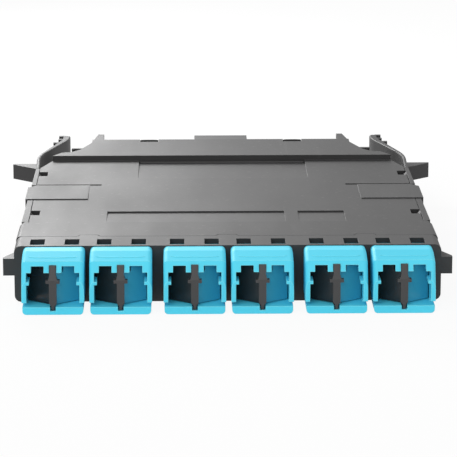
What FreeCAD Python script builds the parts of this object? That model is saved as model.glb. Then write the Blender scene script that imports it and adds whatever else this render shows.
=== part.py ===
"""Fibre cassette: a flat moulded housing that breaks one multi-fibre connector out to six duplex ports.

The model is drawn in millimetres with +Z up. Every piece is drawn with Y counted from the
lips of the front adapters towards the back, X from the middle of the cassette and Z from
its underside. The placements then move the lot so that the origin lies under the middle
of the whole cassette.
"""
import FreeCAD, Part
import math
import os

import Sketcher
from FreeCAD import Vector

# name, value in millimetres (degrees for angles, a count where the note says so), what it is
SIZES = (
    ("overall_length", 116.2, "adapter lips to the tips of the release levers"),
    ("body_front", 9.8, "front face of the housing"),
    ("frame_depth", 7.8, "front frame, front to back"),
    ("body_rear", 106.0, "rear edge of the top cover"),
    ("body_top", 11.92, "height of the low part of the cover"),
    ("riser_height", 1.22, "step up to the rear part of the cover"),
    ("riser_place", 88.5, "front of that step"),
    ("frame_wall", 2.15, "wall of the front frame beside the outer adapters"),
    ("frame_radius", 1.4, "rounded long edges of the front frame"),
    ("floor_wall", 0.9, "floor of the base shell and of the front frame"),
    ("roof_wall", 1.1, "plate of the top cover"),
    ("side_wall", 1.0, "side and rear walls of the base shell"),
    ("pitch_in_pair", 13.8, "between the two adapters of a pair"),
    ("pitch_of_pairs", 15.1, "between neighbours of two pairs"),
    ("port_pitch", 6.25, "between the two fibres of a duplex adapter"),
    ("shroud_half", 6.37, "half width of the adapter in front of the housing"),
    ("lip_half", 6.2, "half width of the adapter's lower lip"),
    ("lip_top", 1.58, "top of that lip, and the floor of the ports"),
    ("lip_radius", 0.8, "rounded lower corners of the lip"),
    ("foot_height", 2.4, "foot of the side walls above the lip"),
    ("face_set", 0.3, "adapter face behind its lip"),
    ("brow_height", 10.7, "top of the leaning face"),
    ("brow_set", 2.05, "top of the leaning face behind the lip"),
    ("crown_height", 11.75, "flat top of the adapter"),
    ("crown_set", 6.3, "start of the flat top behind the lip"),
    ("crown_radius", 0.9, "rounded upper corners of the adapter"),
    ("sleeve_half", 6.05, "half width of the adapter inside the housing"),
    ("sleeve_top", 10.75, "top of the adapter inside the housing"),
    ("sleeve_end", 25.0, "rear end of the adapter"),
    ("mouth_half", 5.42, "half width of the adapter's opening"),
    ("ledge_half", 4.82, "half width between the side ledges"),
    ("ledge_bottom", 6.12, "underside of the side ledges"),
    ("ledge_top", 6.75, "top of the side ledges"),
    ("ledge_end", 4.5, "rear end of the side ledges"),
    ("pocket_top", 8.5, "top of the opening beside the latch slots"),
    ("latch_top", 9.77, "top of the latch slots"),
    ("latch_half", 1.3, "half width of a latch slot"),
    ("post_slot_half", 0.745, "half width of the slot for the post"),
    ("post_slot_top", 9.98, "top of the slot for the post"),
    ("key_slot_half", 0.585, "half width of the notch in the lip"),
    ("key_slot_bottom", 0.72, "bottom of the notch in the lip"),
    ("plate_back", 2.3, "back of the front plate of the adapter"),
    ("hall_end", 8.4, "rear end of the space where the shutters swing"),
    ("port_inner", 0.85, "inner wall of a port from the middle of the adapter"),
    ("septum_front", 15.2, "front of the wall that holds the alignment sleeves"),
    ("septum_back", 16.2, "back of that wall"),
    ("holder_reach", 5.0, "sleeve holder in front of and behind the wall"),
    ("holder_radius", 1.5, "outside of a sleeve holder"),
    ("holder_lip", 0.8, "end lip of a sleeve holder"),
    ("tube_radius", 0.82, "outside of an alignment sleeve"),
    ("ferrule_radius", 0.62, "ferrule of an inner plug"),
    ("hook_half", 1.5, "half width of the adapter's snap hook"),
    ("hook_front", 11.2, "front of the snap hook's window"),
    ("hook_length", 3.0, "length of the snap hook"),
    ("hook_tip", 0.15, "underside of the snap hook"),
    ("window_offset", 3.575, "top windows from the middle of an adapter"),
    ("window_half", 1.5, "half width of a top window"),
    ("window_front", 10.8, "front edge of the top windows of the front frame"),
    ("window_length", 4.5, "length of those windows"),
    ("opening_front", 11.3, "front edge of the latch openings of an adapter"),
    ("opening_length", 3.2, "length of those openings"),
    ("tongue_half", 1.75, "half width of a locking tongue at its tip"),
    ("tongue_flare", 0.6, "extra half width of a tongue at its root"),
    ("tongue_reach", 1.15, "length of a locking tongue"),
    ("post_half", 0.75, "half width of the shutter post"),
    ("post_top_half", 0.65, "half width of the post above its cross bar"),
    ("post_front", 0.5, "front of the post behind the lip"),
    ("post_back", 1.8, "back of the post"),
    ("post_lean", 0.85, "how far the top of the post leans back"),
    ("post_foot", 2.2, "where the post narrows to its key"),
    ("key_half", 0.3, "half width of the key of the post"),
    ("bar_half", 1.42, "half width of the cross bar"),
    ("bar_bottom", 6.4, "underside of the cross bar"),
    ("bar_top", 7.05, "top of the cross bar"),
    ("bar_root", 0.94, "half width of the post where it leaves the cross bar"),
    ("hinge_offset", 0.5, "shutter hinge from the middle of the adapter"),
    ("hinge_place", 2.2, "shutter hinge behind the lip"),
    ("hinge_radius", 0.2, "trunnion pins of a shutter"),
    ("hinge_fit", 0.05, "gap round the trunnion pins"),
    ("hinge_depth", 0.5, "how far the pins reach into floor and roof"),
    ("shutter_angle", 35.0, "closed shutter from the plane of the face"),
    ("shutter_length", 5.6, "hinge to free edge"),
    ("shutter_wall", 0.5, "thickness of a shutter"),
    ("shutter_tab_inner", 1.77, "tab in the latch slot, from the hinge"),
    ("shutter_tab_outer", 4.6, "far side of that tab, from the hinge"),
    ("run_gap", 0.15, "gap beside a moving piece"),
    ("fit_gap", 0.1, "gap round a piece pushed into place"),
    ("seam_gap", 0.15, "open seam between the front frame and the top cover"),
    ("tab_out", 2.3, "front guide wedge, out from the frame"),
    ("tab_length", 5.6, "front guide wedge, front to back"),
    ("tab_bottom", 5.65, "underside of the front guide wedge"),
    ("tab_height", 3.6, "height of the front guide wedge"),
    ("shoulder_in", 0.5, "shell where the rims start, in from the front frame"),
    ("shoulder_set", 0.15, "shoulders, in from the front frame, before they step in"),
    ("shoulder_step", 1.5, "that step, front to back"),
    ("bay_end", 29.6, "where the side walls turn in behind the inner plugs"),
    ("edge_start", 30.0, "where the cover turns in beside the rims"),
    ("edge_radius", 0.9, "rounded edges of the shoulders"),
    ("wall_set", 0.3, "side wall in from the cover edge behind the rims"),
    ("arm_set", 1.05, "outer face of an arm at its root, in from the front frame"),
    ("arm_spread", 0.45, "how far an arm spreads out up to its first bend"),
    ("arm_wall", 0.8, "thickness of an arm"),
    ("arm_bottom", 1.4, "underside of an arm"),
    ("pivot_place", 80.9, "root of an arm, where it flexes"),
    ("lip_wall", 0.6, "part of a strap that reaches below the top of the cover"),
    ("lip_set", 2.05, "cover edge beside the rims, in from the front frame"),
    ("lip_end", 81.0, "where the cover edge turns in behind the rims"),
    ("arm_straight", 13.3, "root of an arm to its first bend"),
    ("lever_tail", 4.0, "straight end of the lever"),
    ("lever_in", 5.3, "how far the lever is set in from the arm"),
    ("bend_share", 1.33, "radius of the first bend, as a share of the slanted part"),
    ("tail_share", 0.83, "radius of the second bend, as a share of the slanted part"),
    ("pad_wall", 1.75, "thickness of the lever at its end"),
    ("pad_radius", 0.9, "rounded inner corner of that end"),
    ("ribbon_radius", 0.33, "rounded top edges of an arm"),
    ("grip_pitch", 3.6, "between the grip ribs"),
    ("grip_bottom", 2.6, "underside of the grip ribs"),
    ("grip_out", 1.0, "grip rib, out from the lever"),
    ("grip_wall", 1.0, "grip rib, front to back"),
    ("tooth_lead", 2.0, "front of the ramp of the locking tooth, before the first bend"),
    ("tooth_length", 5.9, "locking tooth, front to back"),
    ("tooth_out", 5.3, "tip of a locking tooth, out from the front frame"),
    ("tooth_tip_flat", 0.6, "flat at the tip of a tooth"),
    ("tooth_bottom", 5.6, "underside of the locking tooth"),
    ("tooth_height", 3.45, "height of the locking tooth"),
    ("gate_front", 36.1, "front edge of the front side window"),
    ("gate_rear", 73.0, "front edge of the rear side window"),
    ("gate_length", 4.0, "length of a side window"),
    ("gate_depth", 1.95, "side window, in from the cover edge"),
    ("gate_drop", 4.0, "pocket in the side wall below a side window"),
    ("nub_length", 2.2, "hook of the rim in a side window"),
    ("nub_wall", 0.85, "hook, in from the rim"),
    ("nub_height", 1.7, "height of the hook"),
    ("nub_slope", 1.0, "how far the top of the hook falls"),
    ("strap_front", 50.0, "front edge of the straps over the rims"),
    ("strap_length", 13.9, "strap, front to back"),
    ("strap_inner", 30.15, "inner end of a strap"),
    ("strap_set", 0.2, "outer end of a strap, in from the front frame"),
    ("strap_rise", 0.22, "front edge of a strap above the cover"),
    ("strap_skirt", 3.2, "skirt of the strap down the outside of the rim"),
    ("strap_cut", 2.2, "cut corner at the rear of a strap"),
    ("slit_inner", 27.5, "inner end of the slit behind a strap"),
    ("slit_wide", 0.6, "slit behind a strap"),
    ("slit_step", 1.1, "wider part of that slit, inside the strap"),
    ("panel_front", 29.6, "front of the two sunk panels"),
    ("panel_rear", 39.1, "rear of the two sunk panels"),
    ("panel_deep", 0.35, "depth of the sunk panels at their rear"),
    ("panel_left", -25.55, "left end of the long panel"),
    ("panel_middle", 12.7, "right end of the long panel"),
    ("panel_next", 15.6, "left end of the short panel"),
    ("panel_right", 25.6, "right end of the short panel"),
    ("dish_half", 19.35, "half width of the dished field before the step"),
    ("dish_front", 70.0, "front of the dished field"),
    ("dish_deep", 0.45, "depth of the dished field at the step"),
    ("step_half", 39.6, "half width of the step"),
    ("neck_half", 37.5, "half width of the rear part behind the step"),
    ("neck_place", 92.0, "where that narrowing ends"),
    ("hip_half", 35.3, "half width before the cut rear corner"),
    ("corner_half", 33.4, "half width where the rear corner is cut"),
    ("corner_place", 95.0, "where the rear corner is cut"),
    ("tail_half", 30.8, "half width at the rear edge"),
    ("tail_place", 102.7, "where the cut corner meets the ears"),
    ("ear_inner", 28.1, "inner side of the rear ears"),
    ("ear_outer", 29.5, "outer side of the rear ears at their tips"),
    ("ear_end", 111.9, "tips of the rear ears"),
    ("notch_middle", 17.15, "middle of the rear notches"),
    ("notch_half", 2.25, "half width of a rear notch"),
    ("notch_length", 2.6, "rear notch, front to back"),
    ("rear_wall_back", 104.2, "back of the rear wall of the base shell"),
    ("rear_wall_half", 35.7, "half width of the rear wall"),
    ("wing_top", 11.5, "top of the rear wall beside the cover"),
    ("catch_gap", 0.25, "gap round the catches in the rear notches"),
    ("mpo_half", 6.3, "half width of the rear adapter"),
    ("mpo_bottom", 2.3, "underside of the rear adapter"),
    ("mpo_top", 13.1, "top of the rear adapter"),
    ("mpo_end", 110.5, "rear end of the rear adapter"),
    ("mpo_start", 95.9, "front end of the rear adapter"),
    ("mpo_inner_half", 5.9, "half width of the rear adapter inside the wall"),
    ("mpo_inner_bottom", 3.2, "underside of the rear adapter inside the wall"),
    ("mpo_inner_top", 11.5, "top of the rear adapter inside the wall"),
    ("mpo_port_half", 4.9, "half width of the rear port"),
    ("mpo_port_bottom", 4.05, "floor of the rear port"),
    ("mpo_port_top", 10.75, "roof of the rear port"),
    ("mpo_key_half", 1.5, "half width of the key slot"),
    ("mpo_key_top", 11.9, "top of the key slot"),
    ("mpo_web", 1.5, "web between the two sides of the rear port"),
    ("mpo_middle", 103.1, "front of that web"),
    ("mt_half", 3.2, "half width of the multi-fibre ferrule"),
    ("mt_height", 2.5, "height of the multi-fibre ferrule"),
    ("mt_pin_pitch", 4.6, "between its two guide pins"),
    ("mt_pin_radius", 0.35, "guide pin"),
    ("mt_pin_reach", 1.3, "guide pin out of the ferrule"),
    ("plug_half", 4.55, "half width of the inner multi-fibre plug"),
    ("plug_height", 6.2, "height of the inner multi-fibre plug"),
    ("plug_start", 86.5, "front end of the inner multi-fibre plug"),
    ("fanout_front", 70.0, "front of the fan-out block"),
    ("fanout_length", 9.0, "fan-out block, front to back"),
    ("fanout_half", 8.0, "half width of the fan-out block"),
    ("fanout_height", 3.0, "height of the fan-out block"),
    ("fanout_pitch", 1.2, "between the fibres at the fan-out block"),
    ("ribbon_half", 2.0, "half width of the ribbon tube"),
    ("ribbon_height", 1.6, "height of the ribbon tube"),
    ("lc_size", 4.4, "width and height of an inner plug"),
    ("lc_start", 16.8, "nose of an inner plug"),
    ("lc_end", 29.0, "shoulder of an inner plug"),
    ("lc_bore", 1.65, "hollow nose of an inner plug"),
    ("boot_radius", 1.2, "boot of an inner plug at its root"),
    ("boot_length", 6.0, "boot of an inner plug"),
    ("fibre_radius", 0.45, "buffered fibre"),
    ("fibre_bend", 20.0, "radius of the fibre bends"),
    ("guide_radius", 1.4, "round posts that guide the fibres"),
    ("guide_place", 52.0, "guide posts from the front"),
    ("guide_apart", 6.6, "guide posts from the middle of an outer pair of adapters"),
)

SPAN = 1.0


class Length:
    """A number together with the sheet expression that it comes from."""

    def __init__(self, value, text=None):
        self.value = float(value)
        self.text = text or repr(float(value))

    def joined(self, other, sign, value):
        """The result of one sum or product, as a number and as an expression."""
        return Length(value, "(%s %s %s)" % (self.text, sign, length(other).text))

    def __add__(self, other):
        return self.joined(other, "+", self.value + length(other).value)

    def __sub__(self, other):
        return self.joined(other, "-", self.value - length(other).value)

    def __mul__(self, other):
        return self.joined(other, "*", self.value * length(other).value)

    def __truediv__(self, other):
        return self.joined(other, "/", self.value / length(other).value)

    def __neg__(self):
        return self * -1

    def __radd__(self, other):
        return length(other) + self

    def __rsub__(self, other):
        return length(other) - self

    def __rmul__(self, other):
        return length(other) * self


def length(value):
    """The value as a Length, whether it is one already or a bare number."""
    return value if isinstance(value, Length) else Length(value)


class Sizes:
    """The driving sizes, read as attributes."""


def make_sheet(doc):
    """Write the driving sizes to a spreadsheet and return them as Lengths."""
    sheet = doc.addObject("Spreadsheet::Sheet", "Sizes")
    sizes = Sizes()
    for row, (name, value, note) in enumerate(SIZES, start=1):
        sheet.set("A%d" % row, note)
        sheet.set("B%d" % row, repr(value))
        sheet.setAlias("B%d" % row, name)
        setattr(sizes, name, Length(value, "Sizes." + name))
    doc.recompute()
    return sizes


doc = FreeCAD.newDocument("fibre_cassette")
s = make_sheet(doc)
pieces = []

# places that several pieces share
ADAPTERS = (
    -(s.pitch_in_pair / 2 + s.pitch_of_pairs + s.pitch_in_pair),
    -(s.pitch_in_pair / 2 + s.pitch_of_pairs),
    -(s.pitch_in_pair / 2),
    s.pitch_in_pair / 2,
    s.pitch_in_pair / 2 + s.pitch_of_pairs,
    s.pitch_in_pair / 2 + s.pitch_of_pairs + s.pitch_in_pair,
)
middle = s.overall_length / 2
cover_front = s.body_front + s.frame_depth
roof_under = s.body_top - s.roof_wall
rear_top = s.body_top + s.riser_height
rear_under = rear_top - s.roof_wall
port_offset = s.port_pitch / 2
port_height = s.lip_top + (s.ledge_bottom - s.lip_top) / 2
port_outer = s.port_pitch - s.port_inner
bay_half = ADAPTERS[5] + s.sleeve_half + s.fit_gap
front_half = bay_half + s.frame_wall
shoulder_wide = front_half - s.shoulder_set
shoulder_half = front_half - s.shoulder_in
shoulder_end = s.edge_start - s.shoulder_step
lip_edge = front_half - s.lip_set
rim_inner = lip_edge + s.run_gap
rim_start = s.edge_start + s.run_gap
rim_end = s.pivot_place - s.arm_wall / 4
strap_outer = front_half - s.strap_set
strap_rear = s.strap_front + s.strap_length
arm_half = front_half - s.arm_set
tooth_tip = front_half + s.tooth_out
lever_bend = s.pivot_place + s.arm_straight
lever_unbend = s.overall_length - s.lever_tail
lever_run = lever_unbend - lever_bend


def bind(thing, target, value):
    """Bind one property to a sheet expression."""
    thing.setExpression(target, length(value).text)


def place(piece, x=0, y=0):
    """Put a piece at x, with its own Y counted from the lips plus y."""
    bind(piece, "Placement.Base.x", x)
    bind(piece, "Placement.Base.y", y - middle)


def new_body(name, x=0, y=0):
    """An empty body whose label names its file."""
    body = doc.addObject("PartDesign::Body", name)
    body.Label = name
    place(body, x, y)
    pieces.append(body)
    return body


def origin_plane(body, role):
    """One of a body's own origin planes."""
    return next(item for item in body.Origin.OriginFeatures if item.Role == role)


def rect(left, right, low, high):
    """The corners of a rectangle."""
    return [(left, low), (right, low), (right, high), (left, high)]


def mirrored(corners):
    """An outline drawn on the right-hand side, closed over to the left."""
    return list(corners) + [(-length(across), along) for across, along in reversed(corners)]


def draw_polygon(sketch, corners):
    """Draw a closed outline whose every corner is bound to the sheet."""
    first = sketch.GeometryCount
    number = sketch.ConstraintCount
    points = [Vector(length(a).value, length(b).value, 0) for a, b in corners]
    count = len(points)
    sketch.addGeometry([Part.LineSegment(points[index], points[(index + 1) % count])
                        for index in range(count)], False)
    joints = [Sketcher.Constraint("Coincident", first + index, 2, first + (index + 1) % count, 1)
              for index in range(count)]
    rules = []
    wanted = []
    for index, corner in enumerate(corners):
        for kind, value in zip(("DistanceX", "DistanceY"), corner):
            rules.append(Sketcher.Constraint(kind, -1, 1, first + index, 1, length(value).value))
            wanted.append(value)
    sketch.addConstraint(joints + rules)
    for index, value in enumerate(wanted, start=number + count):
        bind(sketch, "Constraints[%d]" % index, value)


def draw_circle(sketch, centre, radius):
    """Draw a circle whose centre and radius are bound to the sheet."""
    across, along = (length(value) for value in centre)
    point = Vector(across.value, along.value, 0)
    circle = sketch.addGeometry(Part.Circle(point, Vector(0, 0, 1), length(radius).value), False)
    bounds = (("DistanceX", across), ("DistanceY", along))
    for kind, wanted in bounds:
        rule = Sketcher.Constraint(kind, -1, 1, circle, 3, wanted.value)
        bind(sketch, "Constraints[%d]" % sketch.addConstraint(rule), wanted)
    rule = Sketcher.Constraint("Radius", circle, length(radius).value)
    bind(sketch, "Constraints[%d]" % sketch.addConstraint(rule), radius)


def new_sketch(body, name, plane, level, loops):
    """A sketch on an origin plane, moved along the plane's axis to level.

    A loop is a list of corners, or a pair of a centre and a radius.
    """
    sketch = body.newObject("Sketcher::SketchObject", name + "_sketch")
    sketch.AttachmentSupport = [(origin_plane(body, plane + "_Plane"), "")]
    sketch.MapMode = "FlatFace"
    bind(sketch, "AttachmentOffset.Base.z", -length(level) if plane == "XZ" else level)
    for loop in loops:
        if isinstance(loop, tuple):
            draw_circle(sketch, *loop)
        else:
            draw_polygon(sketch, loop)
    return sketch


def prism(body, name, plane, loops, start, end, cut=False):
    """Add, or cut away, closed loops carried from start to end along the plane's axis."""
    sketch = new_sketch(body, name, plane, start, loops)
    kind = "PartDesign::Pocket" if cut else "PartDesign::Pad"
    feature = body.newObject(kind, name)
    feature.Profile = sketch
    feature.Type = "Length"
    feature.Reversed = (plane == "XZ") != cut
    bind(feature, "Length", length(end) - start)
    return feature


def cut_prism(body, name, plane, loops, start, end):
    """Cut closed loops away from start to end along the plane's axis."""
    return prism(body, name, plane, loops, start, end, cut=True)


def round_edges(body, name, radius, wanted):
    """Round the edges of the body's last form for which wanted(edge) is true."""
    doc.recompute()
    base = body.Tip
    names = ["Edge%d" % (number + 1) for number, edge in enumerate(base.Shape.Edges) if wanted(edge)]
    if not names:
        raise RuntimeError("no edges to round for %s of %s" % (name, body.Label))
    feature = body.newObject("PartDesign::Fillet", name)
    feature.Base = (base, names)
    bind(feature, "Radius", radius)
    return feature


def runs_along(edge, direction):
    """Whether an edge is a straight line along a direction."""
    if not isinstance(edge.Curve, Part.Line):
        return False
    return abs(edge.Curve.Direction.dot(direction)) > 0.999


def near(value, *places):
    """Whether a value lies at one of the given places."""
    return any(abs(value - length(place).value) < 0.01 for place in places)


# ---------------------------------------------------------------- housing

def front_frame():
    """The moulded ring that holds the six adapters and carries the front guide wedges."""
    body = new_body("front_frame")
    prism(body, "ring", "XZ", [rect(-front_half, front_half, 0, s.body_top)],
          s.body_front, cover_front)
    round_edges(body, "long_edges", s.frame_radius, lambda edge: runs_along(edge, Vector(0, 1, 0)))
    pockets = [rect(x - s.sleeve_half - s.fit_gap, x + s.sleeve_half + s.fit_gap,
                    s.floor_wall, s.sleeve_top + s.fit_gap) for x in ADAPTERS]
    cut_prism(body, "pockets", "XZ", pockets, s.body_front - SPAN, cover_front + SPAN)
    windows = []
    for x in ADAPTERS:
        for centre in (x - s.window_offset, x + s.window_offset):
            windows.append(rect(centre - s.window_half, centre + s.window_half,
                                s.window_front, s.window_front + s.window_length))
    cut_prism(body, "top_windows", "XY", windows, s.sleeve_top, s.body_top + SPAN)
    hooks = [rect(x - s.hook_half - s.fit_gap, x + s.hook_half + s.fit_gap,
                  s.hook_front - s.fit_gap, s.hook_front + s.hook_length + s.fit_gap)
             for x in ADAPTERS]
    cut_prism(body, "hook_windows", "XY", hooks, -SPAN, s.floor_wall + s.fit_gap)
    tongues = [tongue(x, 0) for x in tongue_places()]
    prism(body, "top_tongues", "XY", tongues, roof_under, s.body_top)
    wedges = []
    for side in (-1, 1):
        inner = (front_half - s.side_wall) * side
        outer = (front_half + s.tab_out) * side
        wedges.append([(inner, s.body_front), (outer, s.body_front),
                       (outer, s.body_front + s.tab_length / 5),
                       (front_half * side, s.body_front + s.tab_length),
                       (inner, s.body_front + s.tab_length)])
    prism(body, "guide_wedges", "XY", wedges, s.tab_bottom, s.tab_bottom + s.tab_height)


def tongue_places():
    """The middles of the locking tongues, between the adapters of each pair."""
    return [(ADAPTERS[left] + ADAPTERS[left + 1]) / 2 for left in (0, 2, 4)]


def tongue(x, gap):
    """The outline of a locking tongue, or of its notch with a gap round it."""
    tip = s.tongue_half + gap
    root = tip + s.tongue_flare
    return [(x - root, cover_front), (x + root, cover_front),
            (x + tip, cover_front + s.tongue_reach + gap),
            (x - tip, cover_front + s.tongue_reach + gap)]


def base_shell():
    """The open tub: floor, side walls with rims beside the cover, and rear wall."""
    body = new_body("base_shell")
    rear_in = s.rear_wall_back - s.side_wall
    floor = mirrored([
        (front_half, cover_front), (shoulder_wide, shoulder_end), (shoulder_half, rim_start),
        (arm_half, rim_end), (arm_half - s.fit_gap, s.riser_place), (s.step_half, s.neck_place),
        (s.rear_wall_half, s.corner_place), (s.rear_wall_half, s.rear_wall_back)])
    prism(body, "floor", "XY", [floor], 0, s.floor_wall)
    set_half = lip_edge - s.wall_set
    outer = mirrored([
        (front_half, cover_front), (shoulder_wide, shoulder_end), (shoulder_half, rim_start),
        (arm_half, rim_end), (set_half, rim_end), (set_half, s.lip_end),
        (s.step_half - s.wall_set, s.riser_place), (s.hip_half, s.neck_place),
        (s.corner_half - s.side_wall, s.tail_place - s.side_wall),
        (s.corner_half - s.side_wall, s.rear_wall_back)])
    inner = mirrored([
        (bay_half, cover_front + s.side_wall), (bay_half, s.bay_end),
        (set_half - s.side_wall, s.bay_end), (set_half - s.side_wall, s.lip_end),
        (s.step_half - s.wall_set - s.side_wall, s.riser_place),
        (s.hip_half - s.side_wall, s.neck_place - s.side_wall),
        (s.tail_half - s.side_wall, rear_in)])
    prism(body, "walls", "XY", [outer, inner], s.floor_wall, roof_under)
    cut_prism(body, "front_doorway", "XZ",
              [rect(-bay_half, bay_half, s.floor_wall, s.body_top)],
              cover_front - SPAN, cover_front + s.side_wall + SPAN)
    bevels = []
    for side in (-1, 1):
        bevels.append([((front_half - s.edge_radius) * side, 0), ((front_half + SPAN) * side, 0),
                       ((front_half + SPAN) * side, s.edge_radius + SPAN),
                       (front_half * side, s.edge_radius)])
    cut_prism(body, "lower_bevels", "XZ", bevels, cover_front, strap_rear)
    rims, dips, pockets, hooks = [], [], [], []
    for side in (-1, 1):
        inside = rim_inner * side
        beyond = (front_half + SPAN) * side
        rims.append([(inside, rim_start), (shoulder_half * side, rim_start),
                     (arm_half * side, rim_end), (inside, rim_end)])
        dips.append([(inside - SPAN * side, s.strap_front - s.run_gap),
                     (beyond, s.strap_front - s.run_gap), (beyond, strap_rear + s.run_gap),
                     (inside - SPAN * side, strap_rear + s.run_gap)])
        for along in (s.gate_front, s.gate_rear):
            far = (set_half - s.side_wall - SPAN) * side
            pockets.append([(far, along), (inside, along),
                            (inside, along + s.gate_length), (far, along + s.gate_length)])
        tip = inside - s.nub_wall * side
        root = inside + s.run_gap * side
        hooks.append([(root, s.body_top), (inside, s.body_top), (tip, s.body_top - s.nub_slope),
                      (tip, s.body_top - s.nub_height), (root, s.body_top - s.nub_height)])
    prism(body, "rims", "XY", rims, roof_under, s.body_top)
    cut_prism(body, "strap_dips", "XY", dips, s.body_top - s.lip_wall - s.run_gap, s.body_top + SPAN)
    cut_prism(body, "window_pockets", "XY", pockets, s.body_top - s.gate_drop, s.body_top + SPAN)
    for word, along in (("front", s.gate_front), ("rear", s.gate_rear)):
        hook_front = along + (s.gate_length - s.nub_length) / 2
        prism(body, word + "_hooks", "XZ", hooks, hook_front, hook_front + s.nub_length)
    roots = [(((arm_half - s.arm_wall / 2) * side, s.pivot_place), s.arm_wall / 2 + s.run_gap)
             for side in (-1, 1)]
    cut_prism(body, "arm_roots", "XY", roots, s.arm_bottom - s.run_gap, s.body_top + SPAN)
    prism(body, "rear_wall", "XZ",
          [rect(-s.rear_wall_half, s.rear_wall_half, s.floor_wall, rear_under)],
          rear_in, s.rear_wall_back)
    wings = [rect(-s.rear_wall_half - SPAN, -s.tail_half, s.wing_top, rear_top),
             rect(s.tail_half, s.rear_wall_half + SPAN, s.wing_top, rear_top)]
    cut_prism(body, "lower_wings", "XZ", wings, rear_in - SPAN, s.rear_wall_back + SPAN)
    cut_prism(body, "rear_doorway", "XZ",
              [rect(-s.mpo_inner_half - s.fit_gap, s.mpo_inner_half + s.fit_gap,
                    s.mpo_inner_bottom, rear_under + SPAN)], rear_in - SPAN, s.rear_wall_back + SPAN)
    catches = [rect(x - s.notch_half + s.catch_gap, x + s.notch_half - s.catch_gap,
                    s.body_rear - s.notch_length + s.catch_gap, s.rear_wall_back)
               for x in (-s.notch_middle, s.notch_middle)]
    prism(body, "rear_catches", "XY", catches, rear_under, rear_top - s.strap_rise)
    posts = [((x, s.guide_place), s.guide_radius) for x in guide_places()]
    prism(body, "guide_posts", "XY", posts, s.floor_wall, roof_under)
    cradle = rect(-s.mpo_inner_half, s.mpo_inner_half, s.mpo_start + s.side_wall,
                  s.mpo_start + s.side_wall * 2)
    prism(body, "rear_cradle", "XY", [cradle], s.floor_wall, s.mpo_inner_bottom)
    plinth = rect(-s.plug_half, s.plug_half, s.plug_start + s.side_wall, s.plug_start + s.side_wall * 3)
    prism(body, "plug_rest", "XY", [plinth], s.floor_wall, port_axis() - s.plug_height / 2)
    tray = rect(-s.fanout_half, s.fanout_half, s.fanout_front, s.fanout_front + s.fanout_length)
    prism(body, "fanout_rest", "XY", [tray], s.floor_wall, port_height - s.fanout_height / 2)


def port_axis():
    """The height of the middle of the rear port."""
    return (s.mpo_port_bottom + s.mpo_port_top) / 2


def guide_places():
    """The posts that keep the fibres of the outer and inner adapters apart."""
    return [side * (s.pitch_in_pair / 2 + s.pitch_of_pairs + s.guide_apart) for side in (-1, 1)]


def cover_outline():
    """The outline of the top cover, drawn on the right-hand side from its front edge back."""
    return mirrored([
        (front_half, cover_front + s.seam_gap), (shoulder_wide, shoulder_end),
        (shoulder_half, s.edge_start), (lip_edge, s.edge_start), (lip_edge, s.lip_end),
        (s.step_half, s.riser_place), (s.neck_half, s.neck_place),
        (s.hip_half, s.neck_place + s.fit_gap * 5), (s.corner_half, s.corner_place),
        (s.tail_half, s.tail_place), (s.tail_half, s.body_rear)])


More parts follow.
